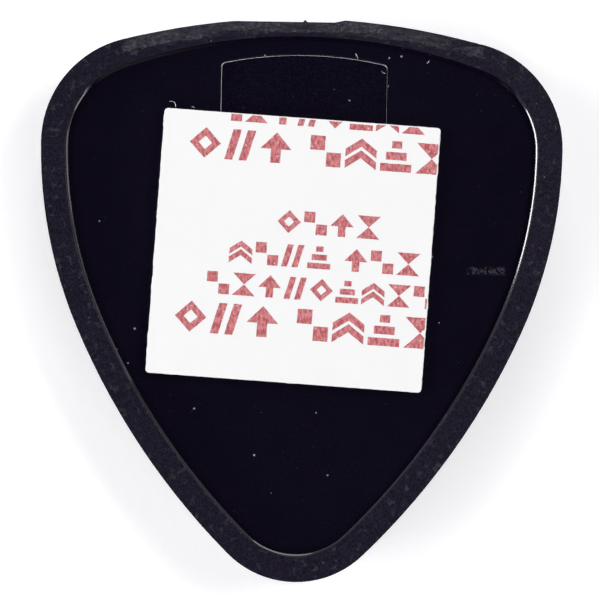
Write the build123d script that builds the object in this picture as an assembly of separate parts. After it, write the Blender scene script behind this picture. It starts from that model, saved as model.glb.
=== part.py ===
from build123d import *
import os
from collections import namedtuple
from math import atan2, cos, degrees, hypot, radians, sin, sqrt, tan

# A pick holder: a flat, pick-shaped plastic box that stores guitar picks in a stack. It lies on its
# front face. +Z is the back, where the mounting tape is; +Y is the wide end, where the picks go in
# and out; the origin is the middle of the front face. Millimetres.

# ---- driving dimensions ---------------------------------------------------------------------------

# A pick outline is five arcs on each side: top, corner, flank, side and tip, each tangent to the next.
PickOutline = namedtuple("PickOutline", "half_width top tip r_top r_corner r_flank r_side r_tip")

BODY = PickOutline(18.71, 20.23, -20.21, 50.2, 7.68, 33.0, 51.3, 6.9)  # outside of the box
RECESS = PickOutline(16.87, 18.83, -18.3, 38.2, 5.95, 30.5, 49.5, 5.07)  # inner edge of the rim

PICK_THICKNESS = 0.8  # one medium pick
PICKS_HELD = 6
FRONT_SKIN = 1.3
PLATE_THICKNESS = 0.9
RIM_HEIGHT = 0.7  # how far the rim stands above the back plate
FRONT_ROUNDING = 2.5
SEAT_WIDTH = 1.2  # ledge that carries the back plate

RIM_BREAK = 0.2  # chamfer along the rim's inner edge
WALL_DRAFT = 3.0  # degrees, on the recess wall

MOUTH_WIDTH = 28.0
MOUTH_ROUNDING = 0.8
BEVEL_HALF_SPAN = 14.0  # rough bevel on the rim over the mouth, to the middle of its slanted ends
BEVEL_END_Y = 17.35
BEVEL_WIDTH = 1.12
BEVEL_DROP = 0.42
KNEE_WIDTH = 0.5  # the bevel is steeper in this outer part of it
KNEE_RISE = 0.28
GATE_TRIM = 0.255  # where the moulding gate was cut off, flat across the top arc
GATE_END = 2.2
GATE_RUNOUT = 12.0  # degrees, the slope on which the cut runs out
GATE_PIP_X = 0.1  # a pip left standing in the cut
GATE_PIP_WIDTH = 0.32
GATE_PIP_HEIGHT = 0.17

NOTCH_WIDTH = 15.0  # thumb notch in the front skin
NOTCH_DEPTH = 12.0
NOTCH_LIP_RADIUS = 2.0  # where the notch opens into the mouth
NOTCH_BREAK = 0.4
GROOVE_COUNT = 5
GROOVE_WIDTH = 0.8
GROOVE_PITCH = 1.9
GROOVE_DEPTH = 0.35
FIRST_GROOVE_Y = -5.5

TONGUE_LEFT, TONGUE_RIGHT = -5.9, 6.11  # the slit round the spring tongue
TONGUE_APEX = 17.66
TONGUE_ROOT = 12.3
TONGUE_CORNER_RISE = 0.65  # how far the slit's end arc climbs from its corners to its apex
TONGUE_CORNER_RADIUS = 0.36
SLIT = 0.07
TONGUE_SINK = 0.15  # the tongue's outer face lies this far below the plate's
TONGUE_THICKNESS = 0.65
RIDGE_HEIGHT = 0.6
RIDGE_Y = 16.2
RIDGE_INSET = 0.24  # from the outside of the slit to the ridge's ends

TAPE_LENGTH = 19.8  # cut length, across the holder
TAPE_WIDTH = 19.0  # a three-quarter inch roll, nominally 19 mm
TAPE_CENTRE = (-0.5, 3.58)
TAPE_TURN = -3.28  # degrees
ADHESIVE = 0.1
FOAM = 0.9
LINER = 0.12

# ---- levels, from the front face up ---------------------------------------------------------------

pocket_depth = PICK_THICKNESS * PICKS_HELD
pocket_floor = FRONT_SKIN
plate_bottom = pocket_floor + pocket_depth
plate_top = plate_bottom + PLATE_THICKNESS
rim_top = plate_top + RIM_HEIGHT
break_level = rim_top - RIM_BREAK
foam_bottom = plate_top + ADHESIVE
foam_top = foam_bottom + FOAM
liner_bottom = foam_top + ADHESIVE

# The recess, from its foot at the plate to its edge on the rim: a leaning wall, then the chamfer.
break_foot = RIM_BREAK / 2
wall_foot = break_foot + (break_level - plate_top) * tan(radians(WALL_DRAFT))

# Cutting tools run this far past what they cut.
OVERRUN = 3.0


# ---- outlines -------------------------------------------------------------------------------------


def grown(outline, distance):
    """The outline moved outwards by distance, which adds it to every arc's radius."""
    return PickOutline(
        outline.half_width + distance,
        outline.top + distance,
        outline.tip - distance,
        *(radius + distance for radius in outline[3:]),
    )


def toward(centre, other, radius):
    """The point radius away from centre, on the line from other through centre."""
    dx, dy = centre[0] - other[0], centre[1] - other[1]
    length = hypot(dx, dy)
    return (centre[0] + dx / length * radius, centre[1] + dy / length * radius)


def meeting_centre(first, first_radius, second, second_radius):
    """Where circles about first and second cross, on the far side from the outline's flank."""
    dx, dy = second[0] - first[0], second[1] - first[1]
    gap = hypot(dx, dy)
    along = (gap**2 + first_radius**2 - second_radius**2) / (2 * gap)
    across = sqrt(first_radius**2 - along**2)
    middle = (first[0] + dx / gap * along, first[1] + dy / gap * along)
    crossings = [
        (middle[0] + side * across * dy / gap, middle[1] - side * across * dx / gap)
        for side in (1, -1)
    ]
    return min(crossings)


def pick_face(outline, level):
    """The closed pick outline as a face at height level."""
    top_centre = (0, outline.top - outline.r_top)
    corner_x = outline.half_width - outline.r_corner
    corner_rise = sqrt((outline.r_top - outline.r_corner) ** 2 - corner_x**2)
    corner_centre = (corner_x, top_centre[1] + corner_rise)
    flank_centre = (outline.half_width - outline.r_flank, corner_centre[1])
    tip_centre = (0, outline.tip + outline.r_tip)
    side_centre = meeting_centre(
        flank_centre,
        outline.r_side - outline.r_flank,
        tip_centre,
        outline.r_side - outline.r_tip,
    )
    joins = [
        toward(corner_centre, top_centre, outline.r_corner),
        (outline.half_width, corner_centre[1]),
        toward(flank_centre, side_centre, outline.r_flank),
        toward(tip_centre, side_centre, outline.r_tip),
    ]
    centres = [corner_centre, flank_centre, side_centre]
    radii = [outline.r_corner, outline.r_flank, outline.r_side]
    edges = [arc_about(top_centre, outline.r_top, mirrored(joins[0]), joins[0])]
    for start, end, centre, radius in zip(joins, joins[1:], centres, radii):
        edges.append(arc_about(centre, radius, start, end))
        edges.append(arc_about(mirrored(centre), radius, mirrored(end), mirrored(start)))
    edges.append(arc_about(tip_centre, outline.r_tip, joins[-1], mirrored(joins[-1])))
    return Pos(0, 0, level) * make_face(edges).face()


def mirrored(point):
    return (-point[0], point[1])


def arc_about(centre, radius, start, end):
    """The clockwise arc about centre from start to end."""
    first = atan2(start[1] - centre[1], start[0] - centre[0])
    last = atan2(end[1] - centre[1], end[0] - centre[0])
    turn = degrees(first - last) % 360
    middle = first - radians(turn / 2)
    through = (centre[0] + radius * cos(middle), centre[1] + radius * sin(middle))
    return ThreePointArc(start, through, end)


def prism(outline, bottom, top):
    return extrude(pick_face(outline, bottom), top - bottom)


def stepped_cone(outline, levels):
    """A solid whose outline changes evenly between levels, each a distance to grow and a height."""
    solid = Part()
    for (low_growth, low), (high_growth, high) in zip(levels, levels[1:]):
        foot = pick_face(grown(outline, low_growth), low)
        head = pick_face(grown(outline, high_growth), high)
        solid += loft([foot, head], ruled=True)
    return solid


def block(left, right, near, far, bottom, top):
    """A box between two limits on each axis."""
    size = (right - left, far - near, top - bottom)
    centre = ((left + right) / 2, (near + far) / 2, (bottom + top) / 2)
    return Pos(*centre) * Box(*size)


# ---- front shell ----------------------------------------------------------------------------------


def recess_cut():
    """The space inside the rim: the plate's seat, a leaning wall above it, and a chamfer."""
    seat = prism(grown(RECESS, -wall_foot), plate_bottom, plate_top)
    levels = [(-wall_foot, plate_top), (-break_foot, break_level), (RIM_BREAK / 2, rim_top)]
    return seat + stepped_cone(RECESS, levels)


def pocket_cut():
    """The room for the picks, and the mouth through the wall at the wide end."""
    pocket = prism(grown(RECESS, -SEAT_WIDTH), pocket_floor, plate_bottom)
    inside = RECESS.top - RECESS.r_corner
    half = MOUTH_WIDTH / 2
    mouth = block(-half, half, inside, BODY.top + OVERRUN, pocket_floor, plate_bottom)
    mouth = fillet(mouth.edges().filter_by(Axis.Y).group_by(Axis.Z)[-1], MOUTH_ROUNDING)
    return pocket + mouth


def bevel_cut():
    """The band scraped off the rim's outer edge above the mouth: steep outside, flatter inside."""
    foot = rim_top - BEVEL_DROP
    knee = foot + KNEE_RISE
    flatness = (BEVEL_WIDTH - KNEE_WIDTH) / (rim_top - knee)
    clear = rim_top + BEVEL_DROP
    levels = [(0, foot), (-KNEE_WIDTH, knee), (-KNEE_WIDTH - flatness * (clear - knee), clear)]
    near, far = (BEVEL_HALF_SPAN + OVERRUN, BEVEL_END_Y - OVERRUN), (0, BEVEL_END_Y + BEVEL_HALF_SPAN)
    outline = Polyline(near, far, mirrored(near), close=True)
    band = Pos(0, 0, foot) * extrude(make_face(outline.edges()).face(), clear - foot)
    return band - stepped_cone(BODY, levels)


def gate_cut():
    """The flat left where the gate was trimmed, with a small pip standing in it."""
    trimmed = BODY.top - GATE_TRIM
    far = BODY.top + OVERRUN
    half_pip = GATE_PIP_WIDTH / 2
    outline = Polyline(
        (-MOUTH_WIDTH / 2, far),
        (-MOUTH_WIDTH / 2, trimmed),
        (GATE_PIP_X - half_pip, trimmed),
        (GATE_PIP_X, trimmed + GATE_PIP_HEIGHT),
        (GATE_PIP_X + half_pip, trimmed),
        (GATE_END, trimmed),
        (GATE_END + (far - trimmed) / tan(radians(GATE_RUNOUT)), far),
        close=True,
    )
    face = make_face(outline.edges()).face()
    return Pos(0, 0, plate_bottom) * extrude(face, rim_top + OVERRUN - plate_bottom)


def notch_face():
    """A U open towards +Y, whose two lips are rounded where they reach the box's edge."""
    radius = NOTCH_WIDTH / 2
    centre_y = BODY.top - NOTCH_DEPTH + radius
    far = BODY.top + OVERRUN
    lip_x = radius + NOTCH_LIP_RADIUS
    lip_y = BODY.top - BODY.r_top + sqrt(BODY.r_top**2 - lip_x**2) - NOTCH_LIP_RADIUS
    notch = Pos(0, centre_y) * Circle(radius)
    notch += Pos(0, (centre_y + far) / 2) * Rectangle(NOTCH_WIDTH, far - centre_y)
    opening = Pos(0, (lip_y + far) / 2) * Rectangle(2 * lip_x, far - lip_y)
    for side in (-1, 1):
        opening -= Pos(side * lip_x, lip_y) * Circle(NOTCH_LIP_RADIUS)
    return (notch + opening).face()


def notch_cut():
    """The thumb notch through the front skin, with its edge broken on the outside."""
    shape = notch_face()
    through = Pos(0, 0, -OVERRUN) * extrude(shape, OVERRUN + pocket_floor)
    flare = loft([offset(shape, NOTCH_BREAK).face(), Pos(0, 0, NOTCH_BREAK) * shape], ruled=True)
    return through + flare


def groove_cut():
    """Grip grooves across the front face, each as long as the narrowing tip allows."""
    grooves = []
    for step in range(GROOVE_COUNT):
        length = NOTCH_WIDTH - 2 * step
        place = Pos(0, FIRST_GROOVE_Y - step * GROOVE_PITCH)
        grooves.append(place * extrude(SlotOverall(length, GROOVE_WIDTH), GROOVE_DEPTH))
    return Part() + grooves


def front_shell():
    """The box itself: front skin, side wall and rim in one moulding."""
    body = prism(BODY, 0, rim_top)
    body = fillet(body.edges().group_by(Axis.Z)[0], FRONT_ROUNDING)
    return body - recess_cut() - pocket_cut() - bevel_cut() - gate_cut() - notch_cut() - groove_cut()


# ---- back plate and spring tongue -----------------------------------------------------------------


def tongue_face(margin, level):
    """The tongue's outline: straight sides, rounded corners and a shallow arc across its free end.

    margin moves the sides and the free end inwards from the outside of the slit; the root stays.
    """
    left, right = TONGUE_LEFT + margin, TONGUE_RIGHT - margin
    apex = TONGUE_APEX - margin
    corner = apex - TONGUE_CORNER_RISE
    middle = (left + right) / 2
    outline = [
        Line((left, TONGUE_ROOT), (left, corner)),
        ThreePointArc((left, corner), (middle, apex), (right, corner)),
        Line((right, corner), (right, TONGUE_ROOT)),
        Line((right, TONGUE_ROOT), (left, TONGUE_ROOT)),
    ]
    face = make_face(outline).face()
    corners = face.vertices().group_by(Axis.Y)[-1]
    return Pos(0, 0, level) * face.fillet_2d(TONGUE_CORNER_RADIUS, corners)


def back_plate():
    """The plate that closes the pocket, with a window for the tongue."""
    plate = prism(grown(RECESS, -wall_foot), plate_bottom, plate_top)
    window = extrude(tongue_face(0, plate_bottom), PLATE_THICKNESS)
    return plate - window


def spring_tongue():
    """The tongue that presses on the picks, with a rounded ridge inside near its free end."""
    top = plate_top - TONGUE_SINK
    bottom = top - TONGUE_THICKNESS
    leaf = extrude(tongue_face(SLIT, bottom), TONGUE_THICKNESS)
    ridge = Pos(0, RIDGE_Y, bottom) * Rot(0, 90, 0) * Cylinder(RIDGE_HEIGHT, RECESS.half_width)
    under_leaf = extrude(tongue_face(RIDGE_INSET, bottom - RIDGE_HEIGHT), RIDGE_HEIGHT)
    return leaf + (ridge & under_leaf)


# ---- mounting tape --------------------------------------------------------------------------------


def tape_layer(bottom, thickness):
    """One layer of the tape: a rectangle, slightly turned on the plate."""
    layer = extrude(Rectangle(TAPE_LENGTH, TAPE_WIDTH), thickness)
    return Pos(*TAPE_CENTRE, bottom) * Rot(0, 0, TAPE_TURN) * layer


# ---- write the parts ------------------------------------------------------------------------------

nodes = {
    "front_shell": front_shell(),
    "back_plate": back_plate(),
    "spring_tongue": spring_tongue(),
    "permanent_adhesive": tape_layer(plate_top, ADHESIVE),
    "tape_foam": tape_layer(foam_bottom, FOAM),
    "removable_adhesive": tape_layer(foam_top, ADHESIVE),
    "release_liner": tape_layer(liner_bottom, LINER),
}

os.makedirs("parts", exist_ok=True)
for name, shape in nodes.items():
    export_step(shape, f"parts/{name}.step")
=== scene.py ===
from math import atan2, cos, pi, radians, sin

import bmesh
import bpy
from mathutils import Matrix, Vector, noise


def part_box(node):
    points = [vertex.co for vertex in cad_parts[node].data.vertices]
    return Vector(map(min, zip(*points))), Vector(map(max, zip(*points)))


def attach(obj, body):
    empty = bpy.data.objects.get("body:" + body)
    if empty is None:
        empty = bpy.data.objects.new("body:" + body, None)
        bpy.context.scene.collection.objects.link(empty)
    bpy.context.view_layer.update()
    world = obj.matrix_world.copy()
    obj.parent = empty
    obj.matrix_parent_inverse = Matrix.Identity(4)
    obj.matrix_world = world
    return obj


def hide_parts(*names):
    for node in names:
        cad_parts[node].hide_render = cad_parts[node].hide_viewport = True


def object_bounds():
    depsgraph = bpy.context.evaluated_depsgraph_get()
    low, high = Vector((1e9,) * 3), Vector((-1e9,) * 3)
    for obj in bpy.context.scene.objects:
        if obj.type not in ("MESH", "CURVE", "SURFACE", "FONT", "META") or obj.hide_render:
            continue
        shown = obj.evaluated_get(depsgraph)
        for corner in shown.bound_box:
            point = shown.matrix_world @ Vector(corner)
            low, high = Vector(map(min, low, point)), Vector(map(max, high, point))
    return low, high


# The looks of a pick holder that lies face down on white paper, with its taped back up. All sizes are in
# metres in the CAD frame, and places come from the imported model. MM turns millimetres into metres.

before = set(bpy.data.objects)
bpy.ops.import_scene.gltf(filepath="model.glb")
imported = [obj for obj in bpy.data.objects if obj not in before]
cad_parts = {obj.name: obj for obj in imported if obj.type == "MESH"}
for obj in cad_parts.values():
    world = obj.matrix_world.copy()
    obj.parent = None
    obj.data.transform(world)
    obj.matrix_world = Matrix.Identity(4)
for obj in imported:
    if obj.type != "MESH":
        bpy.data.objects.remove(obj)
cad_low, cad_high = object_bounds()
MM = 0.001

SHELL_LOW, SHELL_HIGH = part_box("front_shell")
PLATE_LOW, PLATE_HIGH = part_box("back_plate")
TONGUE_LOW, TONGUE_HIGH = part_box("spring_tongue")
RIM_TOP = SHELL_HIGH.z
PLATE_TOP = PLATE_HIGH.z

WELD = 1e-4 * MM
FLAT_ANGLE = radians(0.2)
SHARP_ANGLE = radians(30)
FACES_INWARDS = -0.2  # how far along the outward direction a face's normal may reach and still face inwards

# ---- camera and light -----------------------------------------------------------------------------

PICTURE_FILL = 0.938  # share of the picture's height that the holder fills
CAMERA_HEIGHT = 450 * MM
CAMERA_ROLL = radians(0.97)
CAMERA_OFFSET = Vector((0.06 * MM, 0.03 * MM, 0))
SENSOR = 36.0
FLOOR_LIGHT = 3.98  # watts per square metre on the floor, from all lights together

# Each light's azimuth and elevation in degrees, its distance, width and height, and its share of
# FLOOR_LIGHT. The low strips are there for the bright line on the recess's broken edge.
LIGHTS = {
    "key": (25, 54, 0.70, 0.34, 0.30, 0.325),
    "far_left_fill": (165, 50, 0.65, 0.30, 0.30, 0.145),
    "near_left_fill": (215, 48, 0.65, 0.30, 0.30, 0.13),
    "near_right_fill": (-60, 48, 0.65, 0.30, 0.30, 0.13),
    "far_fill": (88, 36, 0.60, 0.22, 0.20, 0.065),
    "left_strip": (185, 10, 0.45, 0.38, 0.05, 0.165),
    "near_right_strip": (-32, 10, 0.45, 0.14, 0.05, 0.010),
    "right_strip": (2, 10, 0.45, 0.14, 0.05, 0.005),
    "far_strip": (78, 10, 0.45, 0.44, 0.05, 0.030),
}

# The surroundings: colour by height above the horizon, dimmed from the far side to the open near side.
HORIZON_COLOUR, HORIZON_HEIGHT = (0.80, 0.80, 0.86, 1), 0.12
OVERHEAD_COLOUR, OVERHEAD_HEIGHT = (0.018, 0.013, 0.032, 1), 0.45
NEAR_SIDE, FAR_SIDE, NEAR_STRENGTH = -0.85, -0.1, 0.1


def make_camera():
    """A long lens looking straight down on the taped back."""
    view_width = (cad_high.y - cad_low.y) / PICTURE_FILL
    camera = bpy.data.objects.new("camera", bpy.data.cameras.new("camera"))
    camera.data.sensor_width = SENSOR
    camera.data.lens = SENSOR * CAMERA_HEIGHT / view_width
    camera.location = CAMERA_OFFSET + Vector((0, 0, RIM_TOP + CAMERA_HEIGHT))
    camera.rotation_euler.z = CAMERA_ROLL
    bpy.context.collection.objects.link(camera)
    bpy.context.scene.camera = camera


def make_light(name, azimuth, elevation, distance, width, height, share):
    """A soft light, hidden from the camera, that gives the floor a share of its light.

    Azimuth is counter-clockwise from +X, seen from above, in degrees.
    """
    turn, rise = radians(azimuth), radians(elevation)
    data = bpy.data.lights.new(name, "AREA")
    data.shape = "RECTANGLE"
    data.size, data.size_y = width, height
    data.energy = FLOOR_LIGHT * share * pi * distance**2 / sin(rise)
    light = bpy.data.objects.new(name, data)
    away = Vector((cos(turn) * cos(rise), sin(turn) * cos(rise), sin(rise)))
    light.location = away * distance
    light.rotation_euler = away.to_track_quat("Z", "Y").to_euler()
    light.visible_camera = False
    bpy.context.collection.objects.link(light)


def make_world():
    """Grey at the horizon and dark overhead and on the near side, like a light tent with an open front."""
    world = bpy.data.worlds.new("studio")
    bpy.context.scene.world = world
    world.use_nodes = True
    tree = world.node_tree
    background = tree.nodes["Background"]
    coords = tree.nodes.new("ShaderNodeTexCoord")
    split = tree.nodes.new("ShaderNodeSeparateXYZ")
    front = tree.nodes.new("ShaderNodeMapRange")
    front.inputs["From Min"].default_value = NEAR_SIDE
    front.inputs["From Max"].default_value = FAR_SIDE
    front.inputs["To Min"].default_value = NEAR_STRENGTH
    ramp = tree.nodes.new("ShaderNodeValToRGB")
    low, high = ramp.color_ramp.elements
    low.position, low.color = HORIZON_HEIGHT, HORIZON_COLOUR
    high.position, high.color = OVERHEAD_HEIGHT, OVERHEAD_COLOUR
    tree.links.new(coords.outputs["Generated"], split.inputs[0])
    tree.links.new(split.outputs["Z"], ramp.inputs[0])
    tree.links.new(split.outputs["Y"], front.inputs["Value"])
    tree.links.new(ramp.outputs["Color"], background.inputs["Color"])
    tree.links.new(front.outputs[0], background.inputs["Strength"])


make_camera()
make_world()
for light_name, light_settings in LIGHTS.items():
    make_light(light_name, *light_settings)


# ---- material tools -------------------------------------------------------------------------------


class Shader:
    """A Principled material whose procedural nodes work in millimetres."""

    def __init__(self, name, colour, roughness):
        self.material = bpy.data.materials.new(name)
        self.material.use_nodes = True
        self.tree = self.material.node_tree
        self.surface = self.tree.nodes["Principled BSDF"]
        self.surface.inputs["Base Color"].default_value = (*colour, 1)
        self.surface.inputs["Roughness"].default_value = roughness
        place = self.tree.nodes.new("ShaderNodeTexCoord").outputs["Object"]
        self.place = self.vector("SCALE", place, scale=1 / MM)

    def put(self, socket, value):
        """Sets an input to a number or a colour, or links it to another node's output."""
        if isinstance(value, bpy.types.NodeSocket):
            self.tree.links.new(value, socket)
        else:
            socket.default_value = value

    def maths(self, operation, first, second=0.5):
        node = self.tree.nodes.new("ShaderNodeMath")
        node.operation = operation
        self.put(node.inputs[0], first)
        self.put(node.inputs[1], second)
        return node.outputs[0]

    def vector(self, operation, first, second=None, scale=None):
        node = self.tree.nodes.new("ShaderNodeVectorMath")
        node.operation = operation
        self.put(node.inputs[0], first)
        if second is not None:
            self.put(node.inputs[1], second)
        if scale is not None:
            node.inputs["Scale"].default_value = scale
        return node.outputs["Value" if operation in ("LENGTH", "DISTANCE") else "Vector"]

    def stretched(self, factors, turn=0.0):
        """The place in millimetres, turned about Z in degrees and then scaled on each axis."""
        node = self.tree.nodes.new("ShaderNodeMapping")
        node.vector_type = "POINT"
        turned = self.tree.nodes.new("ShaderNodeMapping")
        turned.inputs["Rotation"].default_value[2] = radians(turn)
        self.put(turned.inputs["Vector"], self.place)
        self.put(node.inputs["Vector"], turned.outputs[0])
        node.inputs["Scale"].default_value = factors
        return node.outputs[0]

    def noise(self, scale, detail=2.0, place=None, distortion=0.0):
        """Soft noise from about 0.2 to 0.8, with scale cells per millimetre."""
        node = self.tree.nodes.new("ShaderNodeTexNoise")
        node.inputs["Scale"].default_value = scale
        node.inputs["Detail"].default_value = detail
        node.inputs["Distortion"].default_value = distortion
        self.put(node.inputs["Vector"], place or self.place)
        return node.outputs["Fac"]

    def cells(self, scale):
        """Voronoi cells: the distance to the nearest centre, and a random value for each cell."""
        node = self.tree.nodes.new("ShaderNodeTexVoronoi")
        node.inputs["Scale"].default_value = scale
        self.put(node.inputs["Vector"], self.place)
        return node.outputs["Distance"], node.outputs["Color"]

    def between(self, value, low, high, out_low=0.0, out_high=1.0):
        """A smooth step: out_low where value is at low, and out_high where it is at high."""
        node = self.tree.nodes.new("ShaderNodeMapRange")
        node.interpolation_type = "SMOOTHSTEP"
        for socket, number in zip(node.inputs, (value, low, high, out_low, out_high)):
            self.put(socket, number)
        return node.outputs[0]

    def mix(self, share, first, second):
        """A colour from first, where share is 0, to second, where it is 1."""
        node = self.tree.nodes.new("ShaderNodeMix")
        node.data_type = "RGBA"
        self.put(node.inputs["Factor"], share)
        for socket, colour in zip((node.inputs[6], node.inputs[7]), (first, second)):
            self.put(socket, colour if isinstance(colour, bpy.types.NodeSocket) else (*colour, 1))
        return node.outputs[2]

    def bump(self, *layers):
        """Stacks bumps, each a height from 0 to 1 and its depth in metres, and wires them in."""
        normal = None
        for height, depth in layers:
            node = self.tree.nodes.new("ShaderNodeBump")
            node.inputs["Strength"].default_value = 1.0
            node.inputs["Distance"].default_value = depth
            self.put(node.inputs["Height"], height)
            if normal:
                self.put(node.inputs["Normal"], normal)
            normal = node.outputs[0]
        self.put(self.surface.inputs["Normal"], normal)

    def set(self, **inputs):
        """Sets Principled inputs by name, with _ for the spaces."""
        for name, value in inputs.items():
            self.put(self.surface.inputs[name.replace("_", " ")], value)


def specks(shader, scale, radius, share):
    """Small round specks, in a share of the cells, as a mask from 0 to 1."""
    distance, colour = shader.cells(scale)
    split = shader.tree.nodes.new("ShaderNodeSeparateColor")
    shader.put(split.inputs[0], colour)
    size = shader.maths("MULTIPLY", split.outputs["Green"], radius * scale)
    dot = shader.between(shader.maths("SUBTRACT", size, distance), 0.0, 0.25 * radius * scale)
    kept = shader.maths("LESS_THAN", split.outputs["Red"], share)
    return shader.maths("MULTIPLY", dot, kept)


# ---- materials ------------------------------------------------------------------------------------

PANEL_BLACK = (0.0012, 0.0006, 0.0040)
PANEL_BLACK_WORN = (0.0056, 0.0042, 0.0108)
RIM_BLACK = (0.0004, 0.0000, 0.0026)
RIM_BLACK_WORN = (0.0105, 0.0078, 0.0205)
TORN_BLACK = (0.0010, 0.0002, 0.0060)
TORN_PALE = (0.0400, 0.0310, 0.0620)
DUST = (0.30, 0.29, 0.32)
PAPER_DIM, PAPER_BRIGHT, PAPER_FIBRE = (0.745, 0.745, 0.745), (0.775, 0.775, 0.765), (0.70, 0.70, 0.68)
INK_DARK, INK_THIN, INK_FLECK = (0.34, 0.060, 0.068), (0.56, 0.19, 0.20), (0.76, 0.62, 0.62)
# The foam's pore colour is painted shade: a darker white for the hollows of the opened cells.
FOAM_PORE_SHADE, FOAM_WHITE = (0.70, 0.68, 0.62), (0.90, 0.89, 0.85)
FILM_THICK, FILM_THIN = (0.80, 0.77, 0.68), (0.87, 0.86, 0.80)

# Lowest and highest values over a surface: roughness and specular level.
PANEL_ROUGHNESS = (0.15, 0.19)
EDGE_ROUGHNESS = (0.12, 0.16)
RIM_ROUGHNESS = (0.36, 0.46)
RIM_SPECULAR = (0.19, 0.34)
PANEL_SPECULAR = 0.3
EDGE_SPECULAR = 0.5
FILM_ROUGHNESS = (0.10, 0.24)

# Bump depths.
PANEL_GRAIN = 0.002 * MM
PANEL_CLOUD = 0.003 * MM
PANEL_DUST = 0.02 * MM
RIM_GRAIN = 0.014 * MM
RIM_CLOUD = 0.010 * MM
TEARING_DEPTH = 0.12 * MM
GRIT_DEPTH = 0.14 * MM
PORE_DEPTH = 0.05 * MM

# Specks: cells per millimetre, largest radius in millimetres, and the share of the cells that hold one.
DUST_SPECKS = (0.9, 0.10, 0.55)
GRIT_SPECKS = (2.6, 0.035, 0.5)
RIM_FLECKS = (1.5, 0.07, 0.45)
TORN_CHIPS = (4.5, 0.06, 0.35)

# How strongly dust covers the plastic, and the grains' size in cells per millimetre.
DUST_COVER, GRIT_COVER, SCUFF_COVER, SMEAR_COVER, CHIP_COVER = 0.7, 0.18, 0.12, 0.07, 0.4
LOW_FLECKS, HIGH_FLECKS = 0.08, 0.40
FINE_GRAIN = 11.0

# The panel's scuff: its middle, from the middle of the plate as a share of the plate's size, and its half
# length and half height in millimetres, each where it is gone and where it is full.
SCUFF_SHARE = Vector((0.40, 0.06, 0))
SCUFF_LENGTH = (1.45, 1.15)
SCUFF_HEIGHT = (0.36, 0.14)

# The torn mask, in millimetres: how far it reaches in from the rim's edge, past the bevel's ends and down
# the outside, each where it is gone and where it is full.
TORN_INWARDS = (0.85, 0.65)
TORN_PAST_END = (0.9, 0.2)
TORN_DOWN = 1.5


def panel_plastic():
    """The smooth, sunken panel: nearly black, with a soft grain, dust and one scuffed patch."""
    shader = Shader("panel_plastic", PANEL_BLACK, 0.22)
    cloud = shader.noise(0.5, 4.0)
    fine = shader.noise(FINE_GRAIN, 3.0)
    dust = specks(shader, *DUST_SPECKS)
    grit = specks(shader, *GRIT_SPECKS)
    pale = shader.maths("MULTIPLY", dust, DUST_COVER)
    pale = shader.maths("ADD", pale, shader.maths("MULTIPLY", grit, GRIT_COVER))
    pale = shader.maths("MAXIMUM", pale, shader.maths("MULTIPLY", scuff(shader), SCUFF_COVER))
    colour = shader.mix(shader.between(fine, 0.3, 0.7), PANEL_BLACK, PANEL_BLACK_WORN)
    shader.set(Base_Color=shader.mix(pale, colour, DUST))
    shader.set(Roughness=shader.between(cloud, 0.2, 0.8, *PANEL_ROUGHNESS))
    shader.set(Specular_IOR_Level=PANEL_SPECULAR)
    shader.bump((fine, PANEL_GRAIN), (cloud, PANEL_CLOUD), (dust, PANEL_DUST))
    return shader.material


def smooth_edge():
    """The recess's broken edge: the same plastic, glossy where the mould was polished."""
    shader = Shader("smooth_edge", PANEL_BLACK, 0.14)
    fine = shader.noise(FINE_GRAIN, 3.0)
    shader.set(Base_Color=shader.mix(shader.between(fine, 0.3, 0.7), PANEL_BLACK, PANEL_BLACK_WORN))
    shader.set(Roughness=shader.between(fine, 0.2, 0.8, *EDGE_ROUGHNESS))
    shader.set(Specular_IOR_Level=EDGE_SPECULAR)
    return shader.material


def scuff(shader):
    """A short granular rub mark across the panel, on its right, as a mask from 0 to 1."""
    centre = (PLATE_LOW + PLATE_HIGH) / 2 + SCUFF_SHARE * (PLATE_HIGH - PLATE_LOW)
    offset = shader.vector("SUBTRACT", shader.place, tuple(centre / MM))
    split = shader.tree.nodes.new("ShaderNodeSeparateXYZ")
    shader.put(split.inputs[0], offset)
    wander = shader.maths("MULTIPLY", shader.noise(1.6, 2.0), 0.3)
    sideways = shader.maths("ABSOLUTE", split.outputs["X"])
    upright = shader.maths("ABSOLUTE", shader.maths("ADD", split.outputs["Y"], wander))
    along = shader.between(sideways, *SCUFF_LENGTH)
    across = shader.between(upright, *SCUFF_HEIGHT)
    grains = shader.between(shader.noise(6.5, 2.0), 0.44, 0.6)
    return shader.maths("MULTIPLY", shader.maths("MULTIPLY", along, across), grains)


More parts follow.
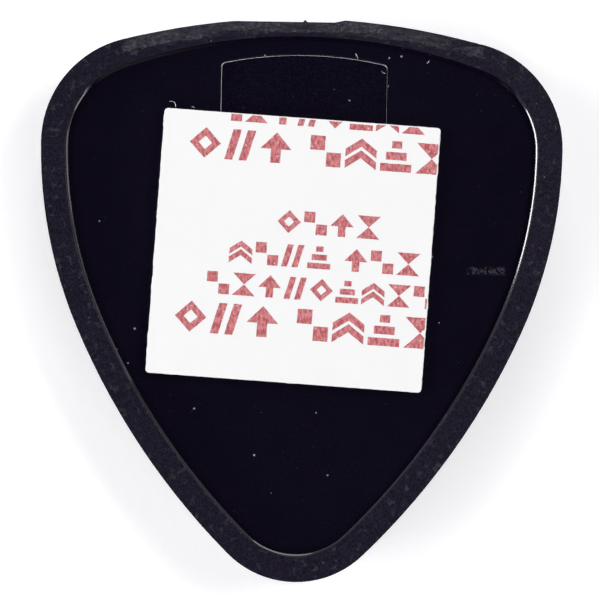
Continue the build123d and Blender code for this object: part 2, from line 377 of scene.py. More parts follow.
def rim_plastic():
    """The box's outside: a duller black with a few flecks, torn and gritty on the bevel over the mouth."""
    shader = Shader("rim_plastic", RIM_BLACK, 0.40)
    grain = shader.noise(8.0, 4.0)
    cloud = shader.noise(0.6, 4.0)
    split = shader.tree.nodes.new("ShaderNodeSeparateXYZ")
    shader.put(split.inputs[0], shader.place)
    upper = shader.between(
        split.outputs["Z"], (PLATE_TOP - MM) / MM, PLATE_TOP / MM, LOW_FLECKS, HIGH_FLECKS
    )
    flecks = shader.maths("MULTIPLY", specks(shader, *RIM_FLECKS), upper)
    smears = shader.between(shader.noise(1.9, 5.0, distortion=0.6), 0.56, 0.74)
    torn = torn_edge(shader)
    colour = shader.mix(shader.between(grain, 0.3, 0.7), RIM_BLACK, RIM_BLACK_WORN)
    colour = shader.mix(shader.maths("MULTIPLY", smears, SMEAR_COVER), colour, DUST)
    lumps = shader.between(shader.noise(3.6, 4.0), 0.46, 0.66)
    colour = shader.mix(torn, colour, shader.mix(lumps, TORN_BLACK, TORN_PALE))
    chips = shader.maths("MULTIPLY", specks(shader, *TORN_CHIPS), torn)
    pale = shader.maths("ADD", flecks, shader.maths("MULTIPLY", chips, CHIP_COVER))
    shader.set(Base_Color=shader.mix(pale, colour, DUST))
    shader.set(Roughness=shader.between(torn, 0.0, 0.6, *RIM_ROUGHNESS))
    shader.set(Specular_IOR_Level=shader.between(torn, 0.0, 0.6, *RIM_SPECULAR))
    streaks = shader.noise(1.0, 3.0, shader.stretched((2.6, 7.0, 7.0)))
    tearing = shader.maths("MULTIPLY", streaks, torn)
    grit = shader.maths("MULTIPLY", shader.noise(6.0, 5.0), torn)
    shader.bump(
        (grain, RIM_GRAIN), (cloud, RIM_CLOUD), (tearing, TEARING_DEPTH), (grit, GRIT_DEPTH)
    )
    return shader.material


def torn_edge(shader):
    """A ragged mask over the outer edge of the rim, along the arc above the mouth."""
    centre, radius = mouth_arc()
    place = tuple(value / MM for value in centre)
    flat_place = shader.vector("MULTIPLY", shader.place, (1, 1, 0))
    outward = shader.vector("DISTANCE", flat_place, place)
    ragged = shader.noise(1.3, 4.0)
    reach = shader.maths("ADD", outward, shader.maths("MULTIPLY", ragged, 0.5))
    none, full = (radius / MM - inwards for inwards in TORN_INWARDS)
    across = shader.between(reach, none, full)
    split = shader.tree.nodes.new("ShaderNodeSeparateXYZ")
    shader.put(split.inputs[0], shader.place)
    sideways = shader.maths("ABSOLUTE", split.outputs["X"])
    none, full = (BEVEL_SPAN / MM / 2 + past for past in TORN_PAST_END)
    along = shader.between(shader.maths("ADD", sideways, ragged), none, full)
    high = shader.between(split.outputs["Z"], PLATE_TOP / MM - TORN_DOWN, PLATE_TOP / MM)
    patches = shader.noise(1.0, 6.0, shader.stretched((0.45, 1.8, 1.8)))
    mottle = shader.between(patches, 0.40, 0.62, 0.10, 1.0)
    mask = shader.maths("MULTIPLY", shader.maths("MULTIPLY", across, along), high)
    return shader.maths("MULTIPLY", mask, mottle)


def liner_paper():
    """White coated paper with faint mottling and fibres."""
    shader = Shader("liner_paper", PAPER_BRIGHT, 0.62)
    mottle = shader.noise(0.55, 5.0)
    fibre = shader.noise(1.0, 4.0, shader.stretched((3.0, 14.0, 14.0), 35), 1.5)
    colour = shader.mix(mottle, PAPER_DIM, PAPER_BRIGHT)
    shade = shader.between(fibre, 0.60, 0.72, 0.0, 0.10)
    shader.set(Base_Color=shader.mix(shade, colour, PAPER_FIBRE))
    shader.bump((fibre, 0.004 * MM), (mottle, 0.02 * MM))
    return shader.material


def red_ink():
    """Thin red ink, printed unevenly, with white flecks where the paper shows through."""
    shader = Shader("red_ink", INK_DARK, 0.55)
    blots = shader.noise(3.4, 4.0, shader.stretched((1.6, 0.7, 1.0)))
    grain = shader.noise(9.0, 3.0)
    colour = shader.mix(shader.between(blots, 0.36, 0.64), INK_DARK, INK_THIN)
    flecks = shader.between(shader.noise(5.2, 4.0), 0.62, 0.70, 0.0, 0.7)
    shader.set(Base_Color=shader.mix(flecks, colour, INK_FLECK))
    shader.bump((grain, 0.004 * MM))
    return shader.material


def white_foam():
    """Closed-cell foam, whose cut sides show the opened cells, with painted shade in their hollows."""
    shader = Shader("white_foam", FOAM_WHITE, 0.8)
    distance, _ = shader.cells(7.5)
    pores = shader.between(distance, 0.15, 0.55)
    # Painted shade: the opened cells' hollows are darkened towards the pore colour.
    shader.set(Base_Color=shader.mix(pores, FOAM_PORE_SHADE, FOAM_WHITE))
    shader.set(Subsurface_Weight=0.15, Subsurface_Scale=0.3 * MM)
    shader.bump((pores, PORE_DEPTH), (shader.noise(20.0, 3.0), 0.01 * MM))
    return shader.material


def tacky_film():
    """Clear acrylic adhesive over white foam: smooth, wet-looking and slightly yellow."""
    shader = Shader("tacky_film", FILM_THICK, 0.16)
    ripple = shader.noise(1.1, 3.0)
    shader.set(Base_Color=shader.mix(ripple, FILM_THICK, FILM_THIN))
    shader.set(Roughness=shader.between(ripple, 0.3, 0.7, *FILM_ROUGHNESS))
    shader.set(Coat_Weight=0.5, Coat_Roughness=0.06)
    shader.bump((ripple, 0.02 * MM), (shader.noise(6.0, 3.0), 0.004 * MM))
    return shader.material


def white_paper():
    """The sheet of paper that the holder lies on, over a dim light table."""
    shader = Shader("white_paper", (0.95, 0.95, 0.955), 0.75)
    shader.set(Emission_Color=(1, 1, 1, 1), Emission_Strength=0.2)
    fibre = shader.noise(1.2, 5.0)
    shader.bump((fibre, 0.015 * MM))
    return shader.material


# ---- mesh tools -----------------------------------------------------------------------------------


def add_piece(name, mesh, material, body, slot, *replaced):
    """Links a mesh as a piece that rides on a body and may stand for CAD nodes."""
    mesh.materials.clear()
    mesh.materials.append(material)
    mesh.shade_smooth()
    mesh.set_sharp_from_angle(angle=SHARP_ANGLE)
    piece = bpy.data.objects.new(name, mesh)
    bpy.context.collection.objects.link(piece)
    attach(piece, body)
    if replaced:
        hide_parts(*replaced)
    return piece


def to_mesh(name, shape):
    """Turns a finished bmesh into a mesh whose faces all face outwards."""
    bmesh.ops.recalc_face_normals(shape, faces=shape.faces)
    mesh = bpy.data.meshes.new(name)
    shape.to_mesh(mesh)
    shape.free()
    return mesh


def clean_copy(node):
    """A CAD node's mesh as a bmesh, welded, with its flat faces whole again."""
    shape = bmesh.new()
    shape.from_mesh(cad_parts[node].data)
    bmesh.ops.remove_doubles(shape, verts=shape.verts, dist=WELD)
    bmesh.ops.dissolve_limit(shape, angle_limit=FLAT_ANGLE, verts=shape.verts, edges=shape.edges)
    return shape


def is_sharp(edge):
    """Whether two faces meet at the edge at more than SHARP_ANGLE."""
    return len(edge.link_faces) == 2 and edge.calc_face_angle() > SHARP_ANGLE


def round_edges(shape, edges, width):
    """Rounds the edges as a moulding's are."""
    bmesh.ops.bevel(
        shape,
        geom=edges,
        offset=width,
        offset_type="OFFSET",
        segments=3,
        profile=0.5,
        affect="EDGES",
        clamp_overlap=True,
    )


def rounded(corners, width):
    """A line's corners, each cut back by width on both sides and given a point between."""
    points = []
    for before, corner, after in zip(corners, corners[1:], corners[2:]):
        first = corner + (before - corner).normalized() * width
        last = corner + (after - corner).normalized() * width
        points += [first, (first + 2 * corner + last) / 4, last]
    return [*points, corners[-1]]


def bridge(shape, first, second):
    """Joins two closed rings of the same number of points with quads."""
    if first is None:
        return
    count = len(first)
    for index in range(count):
        after = (index + 1) % count
        shape.faces.new((first[index], first[after], second[after], second[index]))


def two_noises(place, coarse, fine, share):
    """Noise of coarse cells per metre, plus a share of noise of fine cells per metre."""
    return noise.noise(place * coarse) + share * noise.noise(place * fine)


def flatten_normals(piece):
    """Keeps large faces flat-looking beside the rounded edges."""
    weighted = piece.modifiers.new("weighted", "WEIGHTED_NORMAL")
    weighted.keep_sharp = True
    weighted.weight = 100


# ---- shell, plate and tongue ----------------------------------------------------------------------

RIM_ROUNDING = 0.26 * MM
MOULDED_ROUNDING = 0.03 * MM
PLATE_ROUNDING = 0.02 * MM
EDGE_SLOPES = (0.5, 0.95)  # the upward normals of the recess's broken edge

# The recess wall's levels in the CAD, in millimetres. BREAK is the CAD's chamfer on the rim's inner edge.
BREAK = 0.2
WALL_LEVELS = {round(level / MM, 3) for level in (PLATE_TOP, RIM_TOP - BREAK * MM, RIM_TOP)}
WALL_STEP = 0.25 * MM

# The rebuilt wall's section from the rim's edge, inwards and down, in millimetres: chamfered so that it
# mirrors the low lights upwards, or leaning from top to bottom at the wide end, where it stays dark.
FLAT_TOP, CORNER = (-1, 0), (0, 0)
CHAMFER_FOOT = (BREAK, 0.168)
LEAN_FOOT = (BREAK, 0.60)
WALL_FOOT = (0.223, 0.65)
EDGE_ROUNDING = 0.012 * MM
CHAMFER = rounded([Vector(p) * MM for p in (FLAT_TOP, CORNER, CHAMFER_FOOT, WALL_FOOT)], EDGE_ROUNDING)
LEAN = rounded([Vector(p) * MM for p in (FLAT_TOP, CORNER, LEAN_FOOT, WALL_FOOT)], EDGE_ROUNDING)
LEAN_START, LEAN_SPAN = 0.62, 0.2  # how squarely the wall faces the narrow end where the lean sets in

# The scraped bevel: how fine its mesh is, how far its ends fade, its slopes, and how deep it is torn.
BEVEL_GRAIN = 0.13 * MM
BEVEL_FADE = 3.0 * MM
BEVEL_SLOPES = (0.80, 0.985)
BEVEL_CUTS = 3
BEVEL_LEAST = 0.05
TORN_IN = 0.06 * MM
TORN_PITS = 0.08 * MM
ARC_SHARE = 0.8  # of the bevel's span, over which the rim's outer arc is measured


def circle_through(first, second, third):
    """The centre and radius of the circle through three points in plan."""
    a, b, c = (point.xy for point in (first, second, third))
    d = 2 * (a.x * (b.y - c.y) + b.x * (c.y - a.y) + c.x * (a.y - b.y))
    squares = [point.length_squared for point in (a, b, c)]
    x = squares[0] * (b.y - c.y) + squares[1] * (c.y - a.y) + squares[2] * (a.y - b.y)
    y = squares[0] * (c.x - b.x) + squares[1] * (a.x - c.x) + squares[2] * (b.x - a.x)
    centre = Vector((x / d, y / d, 0))
    return centre, (a - centre.xy).length


def bevel_foot():
    """The shell's corners along the bevel's foot, on the outer edge over the mouth, from the left."""
    points = [vertex.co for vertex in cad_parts["front_shell"].data.vertices]
    outer = (PLATE_HIGH.y + SHELL_HIGH.y) / 2
    foot = min(p.z for p in points if p.z > PLATE_TOP + WELD and p.y > outer)
    return sorted((p for p in points if abs(p.z - foot) < WELD), key=lambda p: p.x)


def mouth_arc():
    """The centre and radius of the rim's outer arc above the mouth, leaving out the corners' arcs."""
    reach = ARC_SHARE * BEVEL_SPAN / 2
    sides = [min(BEVEL_FOOT, key=lambda p: abs(p.x - side * reach)) for side in (-1, 1)]
    crest = max(BEVEL_FOOT, key=lambda p: p.y)
    return circle_through(sides[0], crest, sides[1])


BEVEL_FOOT = bevel_foot()
BEVEL_SPAN = BEVEL_FOOT[-1].x - BEVEL_FOOT[0].x


def on_recess_wall(face):
    """Whether a face belongs to the recess wall above the plate or to the chamfer on its top."""
    levels = {round(vertex.co.z / MM, 3) for vertex in face.verts}
    between = len(levels) > 1 and levels <= WALL_LEVELS
    middle = face.calc_center_median()
    return between and face.normal.xy.dot(middle.xy.normalized()) < FACES_INWARDS


def loop_from(edges):
    """The corners of a closed loop of edges, in order."""
    remaining = set(edges)
    corner = next(iter(remaining)).verts[0]
    loop = []
    while remaining:
        edge = next(edge for edge in corner.link_edges if edge in remaining)
        remaining.remove(edge)
        loop.append(corner)
        corner = edge.other_vert(corner)
    return loop


def tangents(points):
    """The direction of travel at each point of a closed, smoothly curved loop."""
    directions = []
    for before, point, after in zip([points[-1], *points[:-1]], points, [*points[1:], points[0]]):
        back, ahead = point - before, after - point
        directions.append((back / back.length_squared + ahead / ahead.length_squared).normalized())
    return directions


def refine_loop(shape, loop):
    """Splits a loop's edges into steps of about WALL_STEP, and puts the new corners on its curve."""
    points = [corner.co.copy() for corner in loop]
    headings = tangents(points)
    refined = []
    for index, corner in enumerate(loop):
        after = (index + 1) % len(loop)
        chord = (points[after] - points[index]).length
        count = max(1, round(chord / WALL_STEP))
        refined.append(corner)
        for step in range(1, count):
            edge = shape.edges.get((refined[-1], loop[after]))
            _, added = bmesh.utils.edge_split(edge, refined[-1], 0.5)
            arms = [heading * chord / 3 for heading in (headings[index], headings[after])]
            added.co = bezier(points[index], arms[0], arms[1], points[after], step / count)
            refined.append(added)
    return refined


def bezier(start, start_arm, end_arm, end, share):
    """A point on the curve that leaves start along start_arm and reaches end along end_arm."""
    rest = 1 - share
    near, far = start + start_arm, end - end_arm
    return start * rest**3 + near * 3 * share * rest**2 + far * 3 * share**2 * rest + end * share**3


def rebuild_recess_wall(shape):
    """Makes the recess wall anew in even strips: chamfered, but leaning all the way at the wide end."""
    bmesh.ops.delete(shape, geom=[face for face in shape.faces if on_recess_wall(face)], context="FACES")
    open_edges = [edge for edge in shape.edges if edge.is_boundary]
    foot = [edge for edge in open_edges if edge.verts[0].co.z < PLATE_TOP + WELD]
    head = refine_loop(shape, loop_from(set(open_edges) - set(foot)))
    points = [corner.co.copy() for corner in head]
    headings = tangents(points)
    rings = [head] + [[] for _ in CHAMFER[1:]]
    for corner, point, heading in zip(head, points, headings):
        inward = Vector((heading.y, -heading.x, 0))
        inward *= -1 if inward.dot(point) > 0 else 1
        lean = min(max((-inward.y - LEAN_START) / LEAN_SPAN, 0), 1)
        for ring, chamfered, leaning in zip(rings, CHAMFER, LEAN):
            across, down = chamfered.lerp(leaning, lean)
            place = point + inward * across - Vector((0, 0, down))
            if ring is head:
                corner.co = place
            else:
                ring.append(shape.verts.new(place))
    for first, second in zip(rings, rings[1:]):
        bridge(shape, first, second)
    last = rings[-1]
    joined = [shape.edges.get(pair) for pair in zip(last, [*last[1:], last[0]])]
    bmesh.ops.bridge_loops(shape, edges=[*joined, *foot])
    bmesh.ops.recalc_face_normals(shape, faces=shape.faces)


def is_rim_edge(edge):
    """Whether an edge is the rim's outer top edge, where its flat top meets the upright wall."""
    level = all(abs(vertex.co.z - RIM_TOP) < WELD for vertex in edge.verts)
    upright = any(abs(face.normal.z) < 0.1 for face in edge.link_faces)
    return level and upright and is_sharp(edge)


def on_bevel(face):
    """Whether a face is on the sloping band scraped along the rim over the mouth, with slanting ends."""
    middle = face.calc_center_median()
    end = BEVEL_FOOT[-1]
    within = abs(middle.x) + middle.y < end.x + end.y and middle.y > end.y - BEVEL_FADE
    sloping = BEVEL_SLOPES[0] < face.normal.z < BEVEL_SLOPES[1] and face.normal.y > 0
    return within and sloping and middle.z > end.z


def straddles(face, x):
    """Whether a face has corners on both sides of the plane at x."""
    sides = [vertex.co.x for vertex in face.verts]
    return min(sides) < x < max(sides)


def roughen_bevel(shape):
    """Cuts the scraped band finely both ways and roughens it."""
    reach = max(vertex.co.x for face in shape.faces if on_bevel(face) for vertex in face.verts)
    count = round(2 * reach / BEVEL_GRAIN)
    for index in range(1, count):
        x = reach * (2 * index / count - 1)
        cut = [face for face in shape.faces if on_bevel(face) and straddles(face, x)]
        cut_geometry(shape, cut, Vector((x, 0, 0)), Vector((1, 0, 0)))
    across = [edge for edge in shape.edges if crosses_bevel(edge)]
    bmesh.ops.subdivide_edges(shape, edges=across, cuts=BEVEL_CUTS, use_grid_fill=True)
    centre, _ = mouth_arc()
    scraped = {vertex for face in shape.faces if on_bevel(face) for vertex in face.verts}
    for vertex in scraped:
        depth = RIM_TOP - vertex.co.z
        vertex.co.z += depth * (1 - max(bevel_fade(vertex.co), BEVEL_LEAST))
        inward = ((centre - vertex.co) * Vector((1, 1, 0))).normalized()
        ragged = two_noises(vertex.co, 1100, 3300, 0.6)
        pitted = two_noises(vertex.co, 2100, 5200, 0.7)
        vertex.co += inward * abs(ragged) * TORN_IN
        vertex.co.z -= abs(pitted) * TORN_PITS * bevel_fade(vertex.co)


def bevel_fade(point):
    """How deep the scraped band is at a point, from 0 at its slanting ends to 1 well inside them."""
    end = BEVEL_FOOT[-1]
    inside = (end.x + end.y - abs(point.x) - point.y) / BEVEL_FADE
    inside = min(max(inside, 0.0), 1.0)
    return inside * inside * (3 - 2 * inside)


def crosses_bevel(edge):
    """Whether an edge runs across the scraped band, from its outside to its inside."""
    first, second = (vertex.co for vertex in edge.verts)
    scraped = any(on_bevel(face) for face in edge.link_faces)
    return scraped and abs(first.x - second.x) < WELD and abs(first.z - second.z) > WELD


def cut_geometry(shape, faces, place, normal):
    """Cuts some of a mesh's faces along a plane."""
    edges = {edge for face in faces for edge in face.edges}
    vertices = {vertex for face in faces for vertex in face.verts}
    bmesh.ops.bisect_plane(
        shape, geom=[*vertices, *edges, *faces], plane_co=place, plane_no=normal, dist=WELD
    )


def make_shell(outside, inside, broken_edge):
    """The shell: dull outside, polished where it faces inwards, and glossy on the recess's broken edge."""
    shape = clean_copy("front_shell")
    rebuild_recess_wall(shape)
    round_edges(shape, [edge for edge in shape.edges if is_rim_edge(edge)], RIM_ROUNDING)
    round_edges(shape, [edge for edge in shape.edges if is_sharp(edge)], MOULDED_ROUNDING)
    roughen_bevel(shape)
    mesh = to_mesh("shell_moulding", shape)
    piece = add_piece("shell_moulding", mesh, outside, "holder", "black_plastic", "front_shell")
    mesh.materials.append(inside)
    mesh.materials.append(broken_edge)
    for polygon in mesh.polygons:
        outward = Vector((polygon.center.x, polygon.center.y, 0)).normalized()
        inwards = polygon.normal.dot(outward) < FACES_INWARDS
        sloping = EDGE_SLOPES[0] < polygon.normal.z < EDGE_SLOPES[1]
        polygon.material_index = inwards + (inwards and sloping)
    flatten_normals(piece)


def make_flat_moulding(name, node, body, material):
    """A flat moulding with slightly rounded edges: the plate or the tongue."""
    shape = clean_copy(node)
    round_edges(shape, [edge for edge in shape.edges if is_sharp(edge)], PLATE_ROUNDING)
    piece = add_piece(name, to_mesh(name, shape), material, body, "black_plastic", node)
    flatten_normals(piece)


# ---- flash along the slit -------------------------------------------------------------------------

# The lip's reach over the slit, in millimetres: typical, ragged part and most. It reaches less where the
# edge runs up the left side, and more down the right side. It must stay clear of the bending tongue's end.
LIP_REACH, LIP_RAGGED, LIP_MOST = 0.058, 0.006, 0.060
LESS_ON_LEFT, MORE_ON_RIGHT = 0.022, 0.004
LIP_STEP = 0.06 * MM
WINDOW_MARGIN = 0.3 * MM


def walk(points, step):
    """Points every step along a polyline, each with its direction of travel."""
    walked = []
    for start, end in zip(points, points[1:]):
        count = max(1, round((end - start).length / step))
        for index in range(count):
            walked.append((start.lerp(end, index / count), (end - start).normalized()))
    return walked


def window_edge():
    """The corners of the plate's window, from the root on the left round the free end to the right."""
    margin = Vector((WINDOW_MARGIN, WINDOW_MARGIN, 0))
    low, high = TONGUE_LOW - margin, TONGUE_HIGH + margin
    points = {
        vertex.co.to_tuple(7)
        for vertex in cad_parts["back_plate"].data.vertices
        if abs(vertex.co.z - PLATE_TOP) < WELD
        and low.x < vertex.co.x < high.x
        and low.y < vertex.co.y < high.y
    }
    middle = (low + high) / 2
    middle.y = low.y
    return [Vector(point) for point in sorted(points, key=lambda p: -bearing(Vector(p) - middle))]


def bearing(offset):
    """An offset's direction in plan, counter-clockwise from +X."""
    return atan2(offset.y, offset.x)


def make_flash(material):
    """A thin uneven lip of flash on the plate's edge, which narrows the slit all along."""
    shape = bmesh.new()
    previous = None
    for point, along in walk(window_edge(), LIP_STEP):
        inward = Vector((along.y, -along.x, 0))
        ragged = two_noises(point, 1500, 5200, 0.6)
        less = max(along.y, 0) * LESS_ON_LEFT + min(along.y, 0) * MORE_ON_RIGHT
        reach = min(LIP_REACH + LIP_RAGGED * ragged, LIP_MOST) - less
        section = [(-0.03, -0.005), (-0.01, 0.006), (reach, 0.0), (reach, -0.03), (-0.03, -0.04)]
        ring = [
            shape.verts.new(point + (inward * across + Vector((0, 0, up))) * MM) for across, up in section
        ]
        bridge(shape, previous, ring)
        if previous is None:
            shape.faces.new(ring)
        previous = ring
    shape.faces.new(previous)
    add_piece("slit_flash", to_mesh("slit_flash", shape), material, "holder", "black_plastic")


# ---- mounting tape --------------------------------------------------------------------------------

GRID = 0.2 * MM
CORNER_CLIP = 0.35  # of the grid's step, which each corner of the tape loses
SLOW_WANDER, FAST_WANDER, FAST_WANDER_DOWN = 1.1 * MM, 0.28 * MM, 0.25 * MM


class Tape:
    """The tape's rectangle in plan, from one of its layers: across is its long side, up its short one."""

    def __init__(self, node):
        points = {Vector(v.co.xy).to_tuple(7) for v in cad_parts[node].data.vertices}
        by_height = sorted(points, key=lambda point: point[1])
        self.corner, other = (Vector(point) for point in sorted(by_height[:2]))
        self.across = (other - self.corner).normalized()
        self.up = Vector((-self.across.y, self.across.x))
        self.length = (other - self.corner).length
        self.width = (Vector(by_height[-1]) - self.corner).dot(self.up)

    def place(self, across, up, height):
        """A point from its distances along the tape's sides, and its height."""
        return (self.corner + self.across * across + self.up * up).to_3d() + Vector((0, 0, height))


tape = Tape("release_liner")


def knife_wander(distance, height, seed):
    """How a cut edge strays, from about -1 to 1, at a distance along it."""
    slow = noise.noise(Vector((distance / SLOW_WANDER, seed, 0)))
    fast = noise.noise(Vector((distance / FAST_WANDER, seed + 9, height / FAST_WANDER_DOWN)))
    return 0.6 * (slow + fast)


def slab(low, high, rows, side_wander, end_wander, seed):
    """A cut layer of the tape: gridded faces, and sides in rows whose edges stray like a knife cut."""
    shape = bmesh.new()
    columns, lines = round(tape.length / GRID), round(tape.width / GRID)

    def point(column, line, height):
        across, up = tape.length * column / columns, tape.width * line / lines
        side = (column == columns) - (column == 0)
        end = (line == lines) - (line == 0)
        clip = CORNER_CLIP * GRID * abs(side * end)
        across += side * (side_wander * knife_wander(up, height, seed + side) - clip)
        up += end * (end_wander * knife_wander(across, height, seed + 3 * end) - clip)
        return shape.verts.new(tape.place(across, up, height))

    sheets = [
        [[point(column, line, height) for line in range(lines + 1)] for column in range(columns + 1)]
        for height in (low, high)
    ]
    for sheet in sheets:
        for column in range(columns):
            for line in range(lines):
                here, there = sheet[column], sheet[column + 1]
                shape.faces.new((here[line], there[line], there[line + 1], here[line + 1]))
    border = [(column, 0) for column in range(columns)]
    border += [(columns, line) for line in range(lines)]
    border += [(column, lines) for column in range(columns, 0, -1)]
    border += [(0, line) for line in range(lines, 0, -1)]
    rings = [[sheets[0][column][line] for column, line in border]]
    for row in range(1, rows):
        height = low + (high - low) * row / rows
        rings.append([point(column, line, height) for column, line in border])
    rings.append([sheets[1][column][line] for column, line in border])
    for first, second in zip(rings, rings[1:]):
        bridge(shape, first, second)
    return shape


def make_layer(name, node, body, slot, material, rows, side_wander, end_wander, seed):
    """One of the tape's layers, whose cut edges stray by the wanders in millimetres."""
    low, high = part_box(node)
    shape = slab(low.z, high.z, rows, side_wander * MM, end_wander * MM, seed)
    return add_piece(name, to_mesh(name, shape), material, body, slot, node)


# ---- printed marks --------------------------------------------------------------------------------

# Each mark is a list of outlines in a square from 0 to 1. They are plain shapes, not letters.


def bar(left, right, low, high, lean=0.0):
    """A bar, whose top is moved sideways by lean."""
    return [(left, low), (right, low), (right + lean, high), (left + lean, high)]


def chevron(low, high, thickness):
    """A roof shape, thickness tall, that peaks at high."""
    foot = low + thickness
    return [(0, low), (0.5, high - thickness), (1, low), (1, foot), (0.5, high), (0, foot)]


def frame_sides(outer, inner):
    """The sides of a ring between two outlines of the same number of points."""
    count = len(outer)
    return [
        [outer[i], outer[(i + 1) % count], inner[(i + 1) % count], inner[i]] for i in range(count)
    ]


def diamond(size):
    """A diamond around the middle of the square, whose corners are size from it."""
    return [(0.5 + size, 0.5), (0.5, 0.5 + size), (0.5 - size, 0.5), (0.5, 0.5 - size)]


MARKS = {
    "diamond": frame_sides(diamond(0.5), diamond(0.22)),
    "arrow": [[(0.34, 0), (0.66, 0), (0.66, 0.45), (1, 0.45), (0.5, 1), (0, 0.45), (0.34, 0.45)]],
    "checks": [bar(0, 0.47, 0.53, 1), bar(0.53, 1, 0, 0.47)],
    "slants": [bar(0.0, 0.26, 0, 1, 0.24), bar(0.46, 0.72, 0, 1, 0.24)],
    "roofs": [chevron(0.0, 0.62, 0.26), chevron(0.38, 1.0, 0.26)],
    "glass": [[(0, 1), (0.5, 0.5), (1, 1)], [(0, 0), (1, 0), (0.5, 0.5)]],
    "stairs": [bar(0, 1, 0, 0.26), bar(0.17, 0.83, 0.38, 0.64), bar(0.34, 0.66, 0.76, 1)],
    "gap": [],
}

# Each row: its top edge below the tape's top, its height, its left end, and its marks. Millimetres.
BIG_MARKS = ["diamond", "slants", "arrow", "gap", "checks", "roofs", "stairs", "glass"]
SMALL_MARKS = ["checks", "glass", "arrow", "slants", "diamond", "stairs", "roofs", "glass", "checks"]
PRINT_ROWS = [
    (-1.05, 1.62, 3.9, SMALL_MARKS),
    (1.16, 2.19, 1.95, BIG_MARKS),
    (6.65, 1.64, 8.63, ["diamond", "checks", "arrow", "glass"]),
    (9.08, 1.62, 5.35, ["roofs", "checks", "slants", "stairs", "gap", "arrow", "checks", "glass"]),
    (11.40, 1.60, 3.9, SMALL_MARKS),
    (13.64, 2.22, 1.80, BIG_MARKS),
]
LINER_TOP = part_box("release_liner")[1].z
INK = 0.006 * MM
INK_SPREAD = 0.018 * MM
INK_STEP = 0.12 * MM
INK_GRAIN = 3500  # cells per metre
PRINT_MARGIN = 0.07 * MM
PITCH_SHARE = 1.16  # of a row's height
GAP_WIDTH = 0.4  # of a mark's pitch
MARK_WIDTH = 0.88  # of a mark's pitch


def mark_outline(shape, outline, left, low, size):
    """One outline of a mark, with its straight edges made slightly uneven, as thin printed ink."""
    corners = [Vector((left + x * size.x, low + y * size.y, 0)) for x, y in outline]
    points = []
    for point, _ in walk([*corners, corners[0]], INK_STEP):
        spread = noise.noise_vector(Vector((point.x, point.y, 0)) * INK_GRAIN) * INK_SPREAD
        points.append(tape.place(point.x + spread.x, point.y + spread.y, LINER_TOP))
    face = shape.faces.new([shape.verts.new(point) for point in points])
    raised = bmesh.ops.extrude_face_region(shape, geom=[face])["geom"]
    lifted = [item for item in raised if isinstance(item, bmesh.types.BMVert)]
    bmesh.ops.translate(shape, verts=lifted, vec=(0, 0, INK))


def trim_to_tape(shape):
    """Cuts off the print that runs over the tape's upper and right edges."""
    far = tape.place(tape.length - PRINT_MARGIN, tape.width - PRINT_MARGIN, 0)
    for direction in (tape.across.to_3d(), tape.up.to_3d()):
        geometry = [*shape.verts, *shape.edges, *shape.faces]
        cut = bmesh.ops.bisect_plane(
            shape, geom=geometry, plane_co=far, plane_no=direction, dist=WELD, clear_outer=True
        )
        rim = [item for item in cut["geom_cut"] if isinstance(item, bmesh.types.BMEdge)]
        bmesh.ops.edgeloop_fill(shape, edges=rim)


def make_print(material):
    """The rows of generic red marks on the liner."""
    shape = bmesh.new()
    for top, height, left, marks in PRINT_ROWS:
        low = tape.width - (top + height) * MM
        pitch = height * PITCH_SHARE * MM
        size = Vector((pitch * MARK_WIDTH, height * MM, 0))
        across = left * MM
        for mark in marks:
            for outline in MARKS[mark]:
                mark_outline(shape, outline, across, low, size)
            across += pitch * (GAP_WIDTH if mark == "gap" else 1)
    trim_to_tape(shape)
    add_piece("liner_print", to_mesh("liner_print", shape), material, "liner", "liner_paper")


# ---- loose fibres ---------------------------------------------------------------------------------

FIBRE_RADIUS = 0.02 * MM
FIBRE_STEP = 0.05 * MM
FIBRE_SIDES = 5
FIBRE_TAPER = 0.6  # share of the radius that is lost at both ends
FIBRE_KINKS, KINK_GRAIN = 0.25, 9000  # radians for each step, and cells per metre

# Each fibre's start in millimetres, its heading in degrees, length in millimetres and curl in degrees per
# millimetre. Tape fibres start from the tape's upper left corner, the others from the tongue's far corner.
TAPE_FIBRES = [
    (0.7, 0.15, 70, 0.75, 190),
    (2.1, 0.20, 150, 0.25, 60),
]
SLIT_FIBRES = [
    (-2.30, 0.22, -58, 0.44, 20),
    (0.12, -0.15, 80, 0.16, 0),
    (2.82, -0.43, 35, 0.32, 30),
    (0.06, -2.15, 60, 0.14, 0),
    (-8.85, -0.05, 30, 0.12, 0),
]
TONGUE_FIBRE = (-0.40, -1.0, -60, 0.36, 150)


def fibre(shape, start, heading, length, curl):
    """A thin curled fibre from start, with its length in millimetres and its curl in degrees for each."""
    steps = max(6, round(length * MM / FIBRE_STEP))
    step = length * MM / steps
    place, turn, previous = start, radians(heading), None
    for index in range(steps + 1):
        ahead = Vector((cos(turn), sin(turn), 0))
        aside = Vector((-ahead.y, ahead.x, 0))
        radius = FIBRE_RADIUS * (1 - FIBRE_TAPER * abs(2 * index / steps - 1))
        ring = []
        for corner in range(FIBRE_SIDES):
            angle = 2 * pi * corner / FIBRE_SIDES
            ring.append(shape.verts.new(place + (aside * cos(angle) + Vector((0, 0, sin(angle)))) * radius))
        bridge(shape, previous, ring)
        if previous is None:
            shape.faces.new(ring)
        previous = ring
        place = place + ahead * step
        turn += radians(curl) * step / MM + FIBRE_KINKS * noise.noise(place * KINK_GRAIN)
    shape.faces.new(previous)


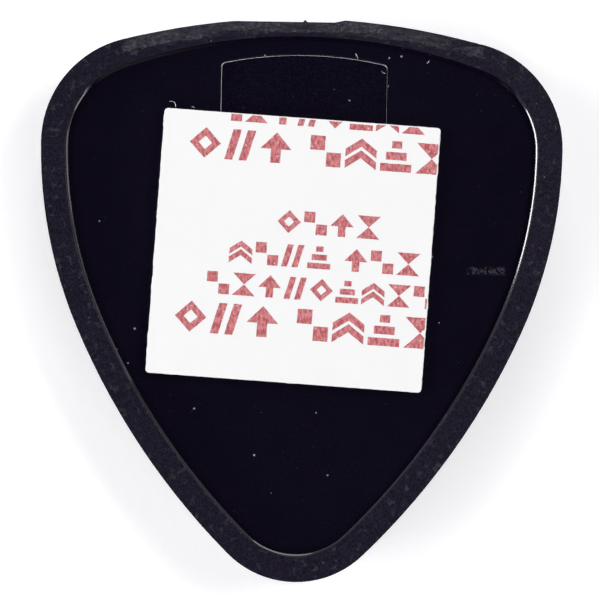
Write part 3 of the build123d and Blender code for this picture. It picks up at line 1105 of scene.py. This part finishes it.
def make_fibres(material):
    """A few fibres of foam and paper that stuck at the tape's corner, along the slit and on the tongue."""
    lying = PLATE_TOP + FIBRE_RADIUS
    shape = bmesh.new()
    for across, past, *form in TAPE_FIBRES:
        fibre(shape, tape.place(across * MM, tape.width + past * MM, lying), *form)
    for right, up, *form in SLIT_FIBRES:
        fibre(shape, Vector((TONGUE_HIGH.x + right * MM, TONGUE_HIGH.y + up * MM, lying)), *form)
    add_piece("loose_fibres", to_mesh("loose_fibres", shape), material, "holder", "white_foam")
    shape = bmesh.new()
    right, up, *form = TONGUE_FIBRE
    fibre(shape, TONGUE_HIGH + Vector((right * MM, up * MM, FIBRE_RADIUS)), *form)
    add_piece("tongue_fibre", to_mesh("tongue_fibre", shape), material, "tongue", "white_foam")


# ---- floor ----------------------------------------------------------------------------------------


FLOOR_HALF = 1.2
FLOOR_CELLS = 24


def make_floor(material):
    """A wide sheet of paper."""
    shape = bmesh.new()
    bmesh.ops.create_grid(shape, x_segments=FLOOR_CELLS, y_segments=FLOOR_CELLS, size=FLOOR_HALF)
    mesh = to_mesh("floor", shape)
    mesh.materials.append(material)
    floor = bpy.data.objects.new("floor", mesh)
    bpy.context.collection.objects.link(floor)


# ---- assembly -------------------------------------------------------------------------------------

rim_material = rim_plastic()
panel_material = panel_plastic()
make_shell(rim_material, panel_material, smooth_edge())
make_flat_moulding("sunken_plate", "back_plate", "holder", panel_material)
make_flat_moulding("flexing_tongue", "spring_tongue", "tongue", panel_material)
make_flash(panel_material)
film = tacky_film()
make_layer("lower_film", "permanent_adhesive", "holder", "adhesive_film", film, 2, 0.03, 0.02, 10)
foam_material = white_foam()
foam = make_layer("foam_core", "tape_foam", "holder", "white_foam", foam_material, 8, 0.10, 0.05, 20)
make_layer("upper_film", "removable_adhesive", "holder", "adhesive_film", film, 2, 0.06, 0.03, 30)
make_layer("liner_sheet", "release_liner", "liner", "liner_paper", liner_paper(), 2, 0.09, 0.03, 40)
make_print(red_ink())
make_fibres(foam_material)
make_floor(white_paper())

bpy.context.scene.view_settings.view_transform = "Standard"
